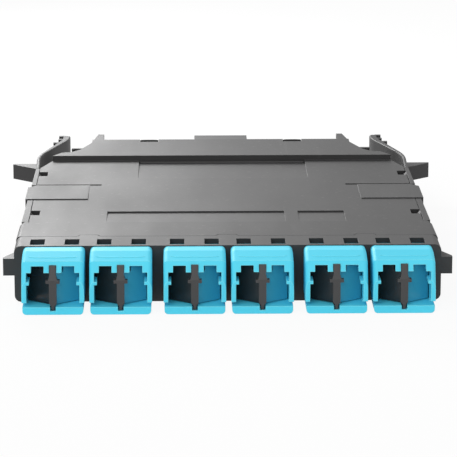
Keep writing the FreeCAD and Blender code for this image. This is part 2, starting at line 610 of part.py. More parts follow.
def top_cover():
    """The lid: a plate with a step up at the back, straps over the rims, windows and panels."""
    body = new_body("top_cover")
    front = cover_front + s.seam_gap
    profile = [(front, roof_under), (s.riser_place + s.roof_wall, roof_under),
               (s.riser_place + s.roof_wall, rear_under), (s.body_rear, rear_under),
               (s.body_rear, rear_top), (s.riser_place, rear_top),
               (s.riser_place, s.body_top), (front, s.body_top)]
    prism(body, "plate", "YZ", [profile], -front_half, front_half)
    frame = rect(-front_half - SPAN, front_half + SPAN, cover_front - SPAN, s.body_rear + SPAN)
    cut_prism(body, "outline", "XY", [frame, cover_outline()], 0, s.body_top * 2)

    def is_shoulder(edge):
        point = edge.CenterOfMass
        beside = abs(point.x) > lip_edge.value and near(point.z, s.body_top)
        return beside and near(point.y, (front + shoulder_end) / 2, (shoulder_end + s.edge_start) / 2)

    round_edges(body, "shoulder_edges", s.edge_radius, is_shoulder)
    notches = [tongue(x, s.seam_gap) for x in tongue_places()]
    cut_prism(body, "tongue_notches", "XY", notches, 0, s.body_top * 2)
    gates = []
    for low, high in ((-lip_edge - SPAN, -lip_edge + s.gate_depth),
                      (lip_edge - s.gate_depth, lip_edge + SPAN)):
        for along in (s.gate_front, s.gate_rear):
            gates.append(rect(low, high, along, along + s.gate_length))
    cut_prism(body, "side_windows", "XY", gates, 0, s.body_top * 2)
    panel = [(s.panel_front, s.body_top), (s.panel_rear, s.body_top - s.panel_deep),
             (s.panel_rear, s.body_top)]
    cut_prism(body, "long_panel", "YZ", [panel], s.panel_left, s.panel_middle)
    cut_prism(body, "short_panel", "YZ", [panel], s.panel_next, s.panel_right)
    dish = [(s.dish_front, s.body_top), (s.riser_place, s.body_top - s.dish_deep),
            (s.riser_place, s.body_top)]
    cut_prism(body, "dished_field", "YZ", [dish], -s.dish_half, s.dish_half)
    notches = [rect(x - s.notch_half, x + s.notch_half, s.body_rear - s.notch_length,
                    s.body_rear + SPAN) for x in (-s.notch_middle, s.notch_middle)]
    cut_prism(body, "rear_notches", "XY", notches, 0, rear_top + SPAN)
    wedge = [(s.strap_front, s.body_top - s.lip_wall), (s.strap_front, s.body_top + s.strap_rise),
             (strap_rear, s.body_top), (strap_rear, s.body_top - s.lip_wall)]
    prism(body, "strap_left", "YZ", [wedge], -strap_outer, -s.strap_inner)
    prism(body, "strap_right", "YZ", [wedge], s.strap_inner, strap_outer)
    skirts, corners, slits = [], [], []
    for side in (-1, 1):
        skirt_inner = (shoulder_half - s.fit_gap) * side
        outer = strap_outer * side
        skirts.append([(skirt_inner, s.strap_front), (outer, s.strap_front),
                       (outer, strap_rear - s.strap_cut), (skirt_inner, strap_rear - s.strap_cut)])
        corners.append([(outer, strap_rear - s.strap_cut), (outer + SPAN * side, strap_rear - s.strap_cut),
                        (outer + SPAN * side, strap_rear), (lip_edge * side, strap_rear)])
        slits.append([(s.slit_inner * side, strap_rear + s.slit_wide - s.slit_step),
                      (s.strap_inner * side, strap_rear + s.slit_wide - s.slit_step),
                      (s.strap_inner * side, strap_rear), (lip_edge * side, strap_rear),
                      (lip_edge * side, strap_rear + s.slit_wide),
                      (s.slit_inner * side, strap_rear + s.slit_wide)])
    prism(body, "strap_skirts", "XY", skirts, s.body_top - s.strap_skirt, s.body_top)
    cut_prism(body, "strap_corners", "XY", corners, s.body_top - s.strap_skirt - SPAN, s.body_top + SPAN)
    cut_prism(body, "strap_slits", "XY", slits, s.body_top - s.panel_deep, s.body_top + SPAN)
    ears = []
    for side in (-1, 1):
        ears.append([(s.ear_inner * side, s.body_rear - SPAN), (s.ear_inner * side, s.ear_end),
                     (s.ear_outer * side, s.ear_end), (s.tail_half * side, s.tail_place + SPAN),
                     (s.tail_half * side, s.body_rear - SPAN)])
    prism(body, "ears", "XY", ears, rear_under, rear_top)


# ---------------------------------------------------------------- release arms

def release_arm(name, side):
    """A springy tail arm: rounded root, locking tooth, two bends, thick end and grip ribs."""
    body = new_body(name)
    wall = s.arm_wall * side
    root = arm_half * side
    bend = root + s.arm_spread * side
    end_outer = bend - s.lever_in * side
    end_inner = end_outer - s.pad_wall * side
    front = s.pivot_place - s.arm_wall / 2
    plan = [(root, front), (bend, lever_bend), (end_outer, lever_unbend),
            (end_outer, s.overall_length), (end_inner, s.overall_length), (end_inner, lever_unbend),
            (bend - wall, lever_bend), (root - wall, front)]
    prism(body, "arm", "XY", [plan], s.arm_bottom, s.body_top)

    def upright_at(*places):
        return lambda edge: (runs_along(edge, Vector(0, 0, 1))
                             and near(edge.CenterOfMass.y, *places))

    round_edges(body, "first_bend", lever_run * s.bend_share, upright_at(lever_bend))
    round_edges(body, "second_bend", lever_run * s.tail_share, upright_at(lever_unbend))
    round_edges(body, "root", s.arm_wall * 0.49, upright_at(front))

    def is_end(edge):
        point = edge.CenterOfMass
        return near(point.y, s.overall_length) and near(point.x, end_inner)

    round_edges(body, "end_corner", s.pad_radius, is_end)
    round_edges(body, "top_edges", s.ribbon_radius, lambda edge: near(edge.CenterOfMass.z, s.body_top))
    tip = tooth_tip * side
    tooth_front = lever_bend - s.tooth_lead
    tooth_back = tooth_front + s.tooth_length
    tooth = [(lever_face(side, tooth_front) - wall / 2, tooth_front),
             (tip, tooth_back - s.tooth_tip_flat), (tip, tooth_back),
             (lever_face(side, tooth_back) - wall / 2, tooth_back)]
    prism(body, "tooth", "XY", [tooth], s.tooth_bottom, s.tooth_bottom + s.tooth_height)
    ribs = []
    for step in (0, 1, 2):
        along = s.overall_length - s.grip_wall / 2 - s.grip_pitch * step
        face = lever_face(side, along)
        ribs.append(rect(face - wall / 2, face + s.grip_out * side,
                         along - s.grip_wall / 2, along + s.grip_wall / 2))
    prism(body, "grip_ribs", "XY", ribs, s.grip_bottom, s.body_top)


def lever_face(side, along):
    """The outer face of an arm at a place along Y, if its bends were sharp."""
    bend = arm_half + s.arm_spread
    if along.value >= lever_unbend.value:
        return (bend - s.lever_in) * side
    if along.value < lever_bend.value:
        part = (along - s.pivot_place) / (lever_bend - s.pivot_place)
        return (arm_half + s.arm_spread * part) * side
    return (bend - s.lever_in * (along - lever_bend) / lever_run) * side


# ---------------------------------------------------------------- duplex adapters

def adapter_body(number, x):
    """A duplex adapter with a shuttered front: shroud, mouth, ledges, ports and sleeve holders."""
    body = new_body("adapter_body_%d" % number, x)
    side = [(0, 0), (0, s.lip_top), (s.face_set, s.lip_top), (s.face_set, s.ledge_top),
            (s.brow_set, s.brow_height), (s.crown_set, s.crown_height),
            (s.body_front, s.crown_height), (s.body_front, 0)]
    prism(body, "shroud", "YZ", [side], -s.shroud_half, s.shroud_half)
    flanks = [rect(-s.shroud_half - SPAN, -s.lip_half, -SPAN, s.foot_height),
              rect(s.lip_half, s.shroud_half + SPAN, -SPAN, s.foot_height)]
    cut_prism(body, "lower_flanks", "XZ", flanks, -SPAN, s.body_front + SPAN)

    def is_crown(edge):
        point = edge.CenterOfMass
        ends = [vertex.Point for vertex in edge.Vertexes]
        if not near(abs(point.x), s.shroud_half) or len(ends) < 2:
            return False
        rises = abs(ends[0].z - ends[1].z) > 0.2 or near(point.z, s.crown_height)
        return rises and point.z > s.ledge_top.value and abs(ends[0].y - ends[1].y) > 0.2

    round_edges(body, "upper_corners", s.crown_radius, is_crown)

    def is_lip(edge):
        return runs_along(edge, Vector(0, 1, 0)) and near(edge.CenterOfMass.z, 0)

    round_edges(body, "lower_corners", s.lip_radius, is_lip)
    prism(body, "inner_block", "XZ",
          [rect(-s.sleeve_half, s.sleeve_half, s.floor_wall, s.sleeve_top)],
          s.body_front, s.sleeve_end)
    mouth = mirrored([
        (s.key_slot_half, s.key_slot_bottom), (s.key_slot_half, s.lip_top),
        (s.mouth_half, s.lip_top), (s.mouth_half, s.ledge_bottom), (s.ledge_half, s.ledge_bottom),
        (s.ledge_half, s.ledge_top), (s.mouth_half, s.ledge_top), (s.mouth_half, s.pocket_top),
        (port_offset + s.latch_half, s.pocket_top), (port_offset + s.latch_half, s.latch_top),
        (port_offset - s.latch_half, s.latch_top), (port_offset - s.latch_half, s.pocket_top),
        (s.post_slot_half, s.pocket_top), (s.post_slot_half, s.post_slot_top)])
    cut_prism(body, "mouth", "XZ", [mouth], -SPAN, s.plate_back)
    groove = [rect(-s.shroud_half, s.shroud_half, s.lip_top, s.foot_height)]
    cut_prism(body, "foot_groove", "XZ", groove, -SPAN, s.plate_back + SPAN)
    front_hall = mirrored([
        (s.mouth_half, s.lip_top), (s.mouth_half, s.ledge_bottom), (s.ledge_half, s.ledge_bottom),
        (s.ledge_half, s.ledge_top), (s.mouth_half, s.ledge_top), (s.mouth_half, s.pocket_top),
        (port_offset + s.latch_half, s.pocket_top), (port_offset + s.latch_half, s.latch_top)])
    cut_prism(body, "front_hall", "XZ", [front_hall], s.plate_back, s.ledge_end)
    rear_hall = mirrored([
        (s.mouth_half, s.lip_top), (s.mouth_half, s.pocket_top),
        (port_offset + s.latch_half, s.pocket_top), (port_offset + s.latch_half, s.latch_top)])
    cut_prism(body, "rear_hall", "XZ", [rear_hall], s.ledge_end, s.hall_end)
    front_ports = []
    rear_ports = []
    latches = []
    openings = []
    for low, high in ((-port_outer, -s.port_inner), (s.port_inner, port_outer)):
        front_ports.append(rect(low, high, s.lip_top, s.ledge_bottom))
        rear_ports.append(rect(low, high, s.lip_top, s.pocket_top))
    for centre in (-port_offset, port_offset):
        low, high = centre - s.latch_half, centre + s.latch_half
        latches.append(rect(low, high, s.ledge_bottom, s.latch_top))
        openings.append(rect(low, high, s.opening_front, s.opening_front + s.opening_length))
    cut_prism(body, "front_ports", "XZ", front_ports, s.hall_end, s.septum_front)
    cut_prism(body, "latch_channels", "XZ", latches, s.hall_end, s.opening_front + s.opening_length)
    cut_prism(body, "latch_openings", "XY", openings, s.latch_top, s.sleeve_top + SPAN)
    cut_prism(body, "rear_ports", "XZ", rear_ports, s.septum_back, s.sleeve_end + SPAN)
    axes = [(centre, port_height) for centre in (-port_offset, port_offset)]
    holder_front = s.septum_front - s.holder_reach
    holder_back = s.septum_back + s.holder_reach
    prism(body, "front_holders", "XZ", [(axis, s.holder_radius) for axis in axes],
          holder_front, s.septum_front)
    prism(body, "rear_holders", "XZ", [(axis, s.holder_radius) for axis in axes],
          s.septum_back, holder_back)
    cut_prism(body, "sleeve_bores", "XZ", [(axis, s.tube_radius + s.fit_gap / 2) for axis in axes],
              holder_front + s.holder_lip, holder_back + SPAN)
    cut_prism(body, "front_bores", "XZ", [(axis, s.ferrule_radius + s.fit_gap) for axis in axes],
              holder_front - SPAN, holder_front + s.holder_lip)
    hinges = [((x_hinge, s.hinge_place), s.hinge_radius + s.hinge_fit)
              for x_hinge in (-s.hinge_offset, s.hinge_offset)]
    cut_prism(body, "lower_hinge_holes", "XY", hinges, s.lip_top - s.hinge_depth, s.lip_top)
    cut_prism(body, "upper_hinge_holes", "XY", hinges, s.latch_top, hinge_roof())
    hook = [(s.hook_front, s.floor_wall), (s.hook_front + s.hook_length, s.floor_wall),
            (s.hook_front + s.hook_length, s.hook_tip), (s.hook_front + s.hook_length - SPAN, s.hook_tip)]
    prism(body, "snap_hook", "YZ", [hook], -s.hook_half, s.hook_half)


def hinge_roof():
    """The top of the upper hinge holes."""
    return s.latch_top + s.hinge_depth


def shutter_post(number, x):
    """The black post between the two ports, keyed into the lip and the roof of an adapter."""
    body = new_body("shutter_post_%d" % number, x)
    side = [(s.post_front, s.key_slot_bottom), (s.post_front, s.bar_top),
            (s.post_front + s.post_lean, s.post_slot_top), (s.post_back, s.post_slot_top),
            (s.post_back, s.key_slot_bottom)]
    prism(body, "blade", "YZ", [side], -s.bar_half, s.bar_half)
    outside = mirrored([
        (s.key_half, s.key_slot_bottom), (s.key_half, s.lip_top), (s.post_half, s.post_foot),
        (s.post_half, s.bar_bottom), (s.bar_half, s.bar_bottom), (s.bar_half, s.bar_top),
        (s.bar_root, s.bar_top), (s.post_top_half, s.bar_top + s.bar_root),
        (s.post_top_half, s.post_slot_top)])
    frame = rect(-s.bar_half - SPAN, s.bar_half + SPAN, s.key_slot_bottom - SPAN, s.post_slot_top + SPAN)
    cut_prism(body, "front_outline", "XZ", [frame, outside], -SPAN, s.post_back + SPAN)


def shutter(name, x, side):
    """One shutter door: a plate with a tab for the latch slot, on two trunnion pins."""
    body = new_body(name, x + s.hinge_offset * side, s.hinge_place)
    bind(body, "Placement.Rotation.Angle", s.shutter_angle * side)
    low = s.lip_top + s.run_gap
    top = s.pocket_top - s.run_gap
    plate = [(0, low), (s.shutter_length * side, low), (s.shutter_length * side, top),
             (s.shutter_tab_outer * side, top), (s.shutter_tab_outer * side, s.latch_top - s.run_gap),
             (s.shutter_tab_inner * side, s.latch_top - s.run_gap), (s.shutter_tab_inner * side, top),
             (0, top)]
    prism(body, "plate", "XZ", [plate], s.shutter_wall / -2, s.shutter_wall / 2)
    prism(body, "knuckle", "XY", [((0, 0), s.shutter_wall / 2)], low, top)
    prism(body, "pins", "XY", [((0, 0), s.hinge_radius)], s.lip_top - s.hinge_depth + s.hinge_fit,
          hinge_roof() - s.hinge_fit)


def sleeve_pair(number, x):
    """The two ceramic alignment sleeves of an adapter."""
    front = s.septum_front - s.holder_reach + s.holder_lip
    tube_length = s.holder_reach * 2 - s.holder_lip + s.septum_back - s.septum_front
    tubes = []
    for word, centre in (("left", -port_offset), ("right", port_offset)):
        parts = []
        for kind, radius in (("outside", s.tube_radius), ("bore", s.ferrule_radius + s.fit_gap / 5)):
            round_bar = doc.addObject("Part::Cylinder", "sleeve_%s_%s_%d" % (word, kind, number))
            bind(round_bar, "Radius", radius)
            bind(round_bar, "Height", tube_length)
            round_bar.Placement.Rotation = FreeCAD.Rotation(Vector(1, 0, 0), -90)
            bind(round_bar, "Placement.Base.x", centre)
            bind(round_bar, "Placement.Base.y", front)
            bind(round_bar, "Placement.Base.z", port_height)
            parts.append(round_bar)
        tube = doc.addObject("Part::Cut", "sleeve_%s_%d" % (word, number))
        tube.Base, tube.Tool = parts
        tubes.append(tube)
    pair = doc.addObject("Part::Compound", "sleeve_pair_%d" % number)
    pair.Label = "sleeve_pair_%d" % number
    pair.Links = tubes
    place(pair, x)
    pieces.append(pair)


def inner_plug_pair(number, x):
    """The two plugs, in their clip, that enter an adapter from inside the housing."""
    body = new_body("inner_plug_pair_%d" % number, x)
    half = s.lc_size / 2
    clip_half = port_offset + half
    shells = []
    for centre in (-port_offset, port_offset):
        shells.append(rect(centre - half, centre + half, port_height - half, port_height + half))
    prism(body, "clip", "XZ", [rect(-clip_half, clip_half, port_height - half, port_height + half)],
          s.sleeve_end + s.fit_gap * 5, s.lc_end)
    prism(body, "shells", "XZ", shells, s.lc_start, s.lc_end)
    axes = [(centre, port_height) for centre in (-port_offset, port_offset)]
    cut_prism(body, "hollow_noses", "XZ", [(axis, s.lc_bore) for axis in axes],
              s.lc_start - SPAN, s.septum_back + s.holder_reach + s.fit_gap * 3)
    prism(body, "ferrules", "XZ", [(axis, s.ferrule_radius) for axis in axes],
          (s.septum_front + s.septum_back) / 2, s.lc_end)
    prism(body, "boots", "XZ", [(axis, s.boot_radius) for axis in axes],
          s.lc_end, s.lc_end + s.boot_length)


# ---------------------------------------------------------------- rear connection

def rear_adapter():
    """The multi-fibre adapter in the rear wall, open at both ends."""
    body = new_body("rear_adapter")
    prism(body, "inner_sleeve", "XZ",
          [rect(-s.mpo_inner_half, s.mpo_inner_half, s.mpo_inner_bottom, s.mpo_inner_top)],
          s.mpo_start, s.body_rear + s.fit_gap)
    prism(body, "outer_sleeve", "XZ", [rect(-s.mpo_half, s.mpo_half, s.mpo_bottom, s.mpo_top)],
          s.body_rear + s.fit_gap, s.mpo_end)
    port = [rect(-s.mpo_port_half, s.mpo_port_half, s.mpo_port_bottom, s.mpo_port_top)]
    cut_prism(body, "inner_port", "XZ", port, s.mpo_start - SPAN, s.mpo_middle)
    cut_prism(body, "outer_port", "XZ", port, s.mpo_middle + s.mpo_web, s.mpo_end + SPAN)
    key = [rect(-s.mpo_key_half, s.mpo_key_half, s.mpo_port_top - SPAN, s.mpo_key_top)]
    cut_prism(body, "key_slot", "XZ", key, s.body_rear + s.mpo_web, s.mpo_end + SPAN)
    axis = port_axis()
    window = [rect(-s.mt_half - s.fit_gap, s.mt_half + s.fit_gap,
                   axis - s.mt_height / 2 - s.fit_gap, axis + s.mt_height / 2 + s.fit_gap)]
    cut_prism(body, "ferrule_window", "XZ", window, s.mpo_middle - SPAN, s.mpo_middle + s.mpo_web + SPAN)


def multi_fibre_plug():
    """The plug inside the housing: shell, ferrule and two guide pins."""
    body = new_body("multi_fibre_plug")
    axis = port_axis()
    shell = [rect(-s.plug_half, s.plug_half, axis - s.plug_height / 2, axis + s.plug_height / 2)]
    prism(body, "shell", "XZ", shell, s.plug_start, s.mpo_middle - s.fit_gap)
    ferrule = [rect(-s.mt_half, s.mt_half, axis - s.mt_height / 2, axis + s.mt_height / 2)]
    prism(body, "ferrule", "XZ", ferrule, s.plug_start, s.mpo_middle + s.mpo_web)
    pins = [((x, axis), s.mt_pin_radius) for x in (s.mt_pin_pitch / -2, s.mt_pin_pitch / 2)]
    prism(body, "guide_pins", "XZ", pins, s.mpo_middle, s.mpo_middle + s.mpo_web + s.mt_pin_reach)


def fanout_block():
    """The block in which the ribbon splits into single fibres."""
    body = new_body("fanout_block")
    rear = s.fanout_front + s.fanout_length
    narrow = s.ribbon_half + s.side_wall
    plan = mirrored([(s.fanout_half, s.fanout_front), (s.fanout_half, s.fanout_front + s.fanout_length / 3),
                     (narrow, rear)])
    prism(body, "block", "XY", [plan], port_height - s.fanout_height / 2,
          port_height + s.fanout_height / 2)


def ribbon_tube():
    """The flat tube from the fan-out block up to the inner plug."""
    body = new_body("ribbon_tube")
    half = s.ribbon_height / 2
    start = s.fanout_front + s.fanout_length
    axis = port_axis()
    profile = [(start, port_height - half), (start + half, port_height - half),
               (s.plug_start - half, axis - half), (s.plug_start, axis - half),
               (s.plug_start, axis + half), (s.plug_start - half, axis + half),
               (start + half, port_height + half), (start, port_height + half)]
    prism(body, "tube", "YZ", [profile], -s.ribbon_half, s.ribbon_half)


def fibre_path(start_x, end_x):
    """A fibre's line from a boot to the fan-out block: straight, a bend, straight, a bend, straight."""
    low = s.lc_end.value + s.boot_length.value
    high = s.fanout_front.value
    height = port_height.value
    radius = s.fibre_bend.value
    across = end_x - start_x
    run = s.fibre_radius.value * 4
    first = Vector(start_x, low + run, height)
    last = Vector(end_x, high - run, height)
    slope = (last - first).normalize()
    angle = math.acos(max(-1.0, min(1.0, slope.y)))
    edges = []
    if angle < 0.01 or abs(across) < 0.01:
        return Part.Wire([Part.makeLine(Vector(start_x, low, height), Vector(end_x, high, height))])
    reach = radius * math.tan(angle / 2)
    reach = min(reach, run * 0.98)
    middle_first = Vector(0, 1, 0)
    corners = (first, last)
    directions = ((middle_first, slope), (slope, middle_first))
    here = Vector(start_x, low, height)
    for corner, (before, after) in zip(corners, directions):
        begin = corner - before * reach
        finish = corner + after * reach
        bisector = (after - before).normalize()
        bulge = reach / math.tan(angle / 2)
        centre = corner + bisector * math.sqrt(bulge ** 2 + reach ** 2)
        midpoint = centre - bisector * bulge
        edges.append(Part.makeLine(here, begin))
        edges.append(Part.Arc(begin, midpoint, finish).toShape())
        here = finish
    edges.append(Part.makeLine(here, Vector(end_x, high, height)))
    return Part.Wire(edges)


def fibre_pair(number, x):
    """The two buffered fibres of an adapter, from its inner plugs to the fan-out block."""
    tubes = []
    for index, centre in enumerate((-port_offset.value, port_offset.value)):
        rank = (number - 1) * 2 + index
        end_x = (rank - len(ADAPTERS) + 0.5) * s.fanout_pitch.value
        path = fibre_path(x.value + centre, end_x)
        start = path.Vertexes[0].Point
        ring = Part.Wire([Part.makeCircle(s.fibre_radius.value, start, Vector(0, 1, 0))])
        tubes.append(path.makePipeShell([ring], True, False))
    piece = doc.addObject("Part::Feature", "fibre_pair_%d" % number)
    piece.Label = "fibre_pair_%d" % number
    piece.Shape = Part.Compound(tubes)
    place(piece)
    pieces.append(piece)


# ---------------------------------------------------------------- the whole

front_frame()
base_shell()
top_cover()
release_arm("release_arm_left", -1)
release_arm("release_arm_right", 1)
for number, x in enumerate(ADAPTERS, start=1):
    adapter_body(number, x)
    shutter_post(number, x)
    shutter("shutter_left_%d" % number, x, -1)
    shutter("shutter_right_%d" % number, x, 1)
    sleeve_pair(number, x)
    inner_plug_pair(number, x)
    fibre_pair(number, x)
rear_adapter()
multi_fibre_plug()
fanout_block()
ribbon_tube()
doc.recompute()


def check_document():
    """Stop if any object failed, or if a feature changed nothing."""
    for item in doc.Objects:
        bad = [word for word in item.State if word in ("Invalid", "Error")]
        if bad:
            raise RuntimeError("%s is %s" % (item.Name, bad))
    for piece in pieces:
        if piece.Shape.isNull() or not piece.Shape.isValid():
            raise RuntimeError("%s has no valid shape" % piece.Label)
    for body in doc.findObjects("PartDesign::Body"):
        volume, area = 0.0, 0.0
        for feature in body.Group:
            if not feature.isDerivedFrom("PartDesign::Feature"):
                continue
            shape = feature.Shape
            grows = shape.Volume > volume
            same = abs(shape.Volume - volume) < 1e-6 and abs(shape.Area - area) < 1e-6
            if same or (grows and feature.isDerivedFrom("PartDesign::Pocket")):
                raise RuntimeError("%s of %s changes nothing" % (feature.Name, body.Label))
            volume, area = shape.Volume, shape.Area


check_document()
os.makedirs("parts", exist_ok=True)
for piece in pieces:
    piece.Shape.exportStep("parts/%s.step" % piece.Label)
    print("%-20s solids %d  volume %9.2f" % (piece.Label, len(piece.Shape.Solids), piece.Shape.Volume))
print(len(pieces), "pieces")
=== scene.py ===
"""Looks of a fibre cassette: a charcoal housing, aqua duplex adapters with shutters, and a studio.

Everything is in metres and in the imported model's own frame: +Z up, +Y from the duplex ports
towards the rear port, and the origin under the middle of the whole cassette.
"""

import logging
import math
from dataclasses import dataclass, field
from enum import Enum

import bmesh
import bpy
import numpy as np
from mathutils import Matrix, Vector


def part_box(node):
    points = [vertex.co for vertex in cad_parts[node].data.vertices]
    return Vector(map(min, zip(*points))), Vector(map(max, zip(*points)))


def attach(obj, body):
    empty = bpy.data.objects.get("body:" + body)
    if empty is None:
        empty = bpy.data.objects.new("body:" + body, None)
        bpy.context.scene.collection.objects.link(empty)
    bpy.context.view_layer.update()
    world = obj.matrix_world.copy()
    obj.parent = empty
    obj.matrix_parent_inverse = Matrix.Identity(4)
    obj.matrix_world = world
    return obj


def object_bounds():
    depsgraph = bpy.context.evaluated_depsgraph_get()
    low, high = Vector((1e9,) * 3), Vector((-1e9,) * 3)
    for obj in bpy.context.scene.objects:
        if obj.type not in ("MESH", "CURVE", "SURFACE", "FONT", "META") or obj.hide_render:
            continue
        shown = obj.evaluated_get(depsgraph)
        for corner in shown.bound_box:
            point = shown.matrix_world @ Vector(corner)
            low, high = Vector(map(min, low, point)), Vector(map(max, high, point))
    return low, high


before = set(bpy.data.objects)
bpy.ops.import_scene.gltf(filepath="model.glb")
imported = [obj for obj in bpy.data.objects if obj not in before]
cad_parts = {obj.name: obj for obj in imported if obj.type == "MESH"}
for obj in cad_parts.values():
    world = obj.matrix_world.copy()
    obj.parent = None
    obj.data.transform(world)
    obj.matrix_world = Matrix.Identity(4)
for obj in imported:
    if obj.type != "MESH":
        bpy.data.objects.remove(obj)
CAD_BOX = [list(corner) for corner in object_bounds()]

Colour = tuple[float, float, float]
Point = tuple[float, float, float]
Span = tuple[float, float]
Socket = bpy.types.NodeSocket

WHITE: Colour = (1.0, 1.0, 1.0)
DUST_COLOUR: Colour = (0.62, 0.60, 0.57)
SCUFF_ROUGHNESS = 0.25
GRAIN_STRENGTH = 0.6
ADAPTER_COUNT = 6

log = logging.getLogger("cassette")


# ------------------------------------------------------------------ node graphs

class Graph:
    """A node tree that grows by steps, with its nodes set out from left to right."""

    COLUMN = 220.0

    def __init__(self, tree: bpy.types.NodeTree) -> None:
        """Start on a tree and empty it.

        Args:
            tree: the node tree of a material, world or group.
        """
        self.tree = tree
        self.tree.nodes.clear()

    def add(self, kind: str, **settings: object) -> bpy.types.Node:
        """Add a node.

        Args:
            kind: the node's type name.
            settings: properties to set on it.

        Returns:
            The new node.
        """
        node = self.tree.nodes.new(kind)
        node.location = (len(self.tree.nodes) * self.COLUMN, 0.0)
        for name, value in settings.items():
            setattr(node, name, value)
        return node

    def feed(self, target: Socket, source: object) -> None:
        """Give a socket its value, either by a link or as a plain value.

        Args:
            target: the input socket.
            source: an output socket, a number or a tuple.
        """
        if isinstance(source, Socket):
            self.tree.links.new(source, target)
        else:
            target.default_value = source

    def maths(self, operation: str, *values: object) -> Socket:
        """Work out one number from others.

        Args:
            operation: the Math node's operation.
            values: sockets or numbers, in order.

        Returns:
            The socket with the result.
        """
        node = self.add("ShaderNodeMath", operation=operation)
        for place, value in enumerate(values):
            self.feed(node.inputs[place], value)
        return node.outputs[0]

    def noise(self, vector: object, scale: object, detail: float,
              roughness: float = 0.5) -> Socket:
        """Cloud noise over a vector.

        Args:
            vector: the coordinates.
            scale: how many clouds there are to a unit.
            detail: how many finer layers are added.
            roughness: how strong those layers are.

        Returns:
            The noise value, about 0.5.
        """
        node = self.add("ShaderNodeTexNoise")
        self.feed(node.inputs["Vector"], vector)
        self.feed(node.inputs["Scale"], scale)
        self.feed(node.inputs["Detail"], detail)
        self.feed(node.inputs["Roughness"], roughness)
        return node.outputs["Fac"]

    def stretched(self, vector: object, scale: Point, turn: float = 0.0) -> Socket:
        """Coordinates scaled along each axis and turned about Z.

        Args:
            vector: the coordinates.
            scale: the scale along each axis.
            turn: the turn about Z, in radians.

        Returns:
            The new coordinates.
        """
        mapping = self.add("ShaderNodeMapping")
        self.feed(mapping.inputs["Vector"], vector)
        self.feed(mapping.inputs["Rotation"], (0.0, 0.0, turn))
        self.feed(mapping.inputs["Scale"], scale)
        return mapping.outputs[0]

    def spread(self, value: object, span: Span, start: object = 0.0, end: object = 1.0) -> Socket:
        """Carry a value from one range to another, held inside it.

        Args:
            value: the value.
            span: the low and the high end of its range.
            start: the result at the low end.
            end: the result at the high end.

        Returns:
            The socket with the result.
        """
        node = self.add("ShaderNodeMapRange", clamp=True)
        for place, given in enumerate((value, *span, start, end)):
            self.feed(node.inputs[place], given)
        return node.outputs[0]

    def between(self, share: object, first: object, second: object) -> Socket:
        """Mix two numbers.

        Args:
            share: how much of the second number there is.
            first: the first number.
            second: the second number.

        Returns:
            The mixed number.
        """
        node = self.add("ShaderNodeMix", data_type="FLOAT")
        self.feed(node.inputs[0], share)
        self.feed(node.inputs[2], first)
        self.feed(node.inputs[3], second)
        return node.outputs[0]

    def blend(self, share: object, first: object, second: object) -> Socket:
        """Mix two colours.

        Args:
            share: how much of the second colour there is.
            first: the first colour.
            second: the second colour.

        Returns:
            The mixed colour.
        """
        node = self.add("ShaderNodeMix", data_type="RGBA")
        self.feed(node.inputs[0], share)
        self.feed(node.inputs[6], first)
        self.feed(node.inputs[7], second)
        return node.outputs[2]


def colour4(colour: Colour) -> tuple[float, float, float, float]:
    """A colour with full cover."""
    return (*colour, 1.0)


class Effect(Enum):
    """The surface effects that several finishes share."""

    GRAIN = "moulded_grain"
    FLOW = "flow_marks"
    SCUFFS = "handling_scuffs"
    DUST = "settled_dust"
    EDGES = "moulded_edges"


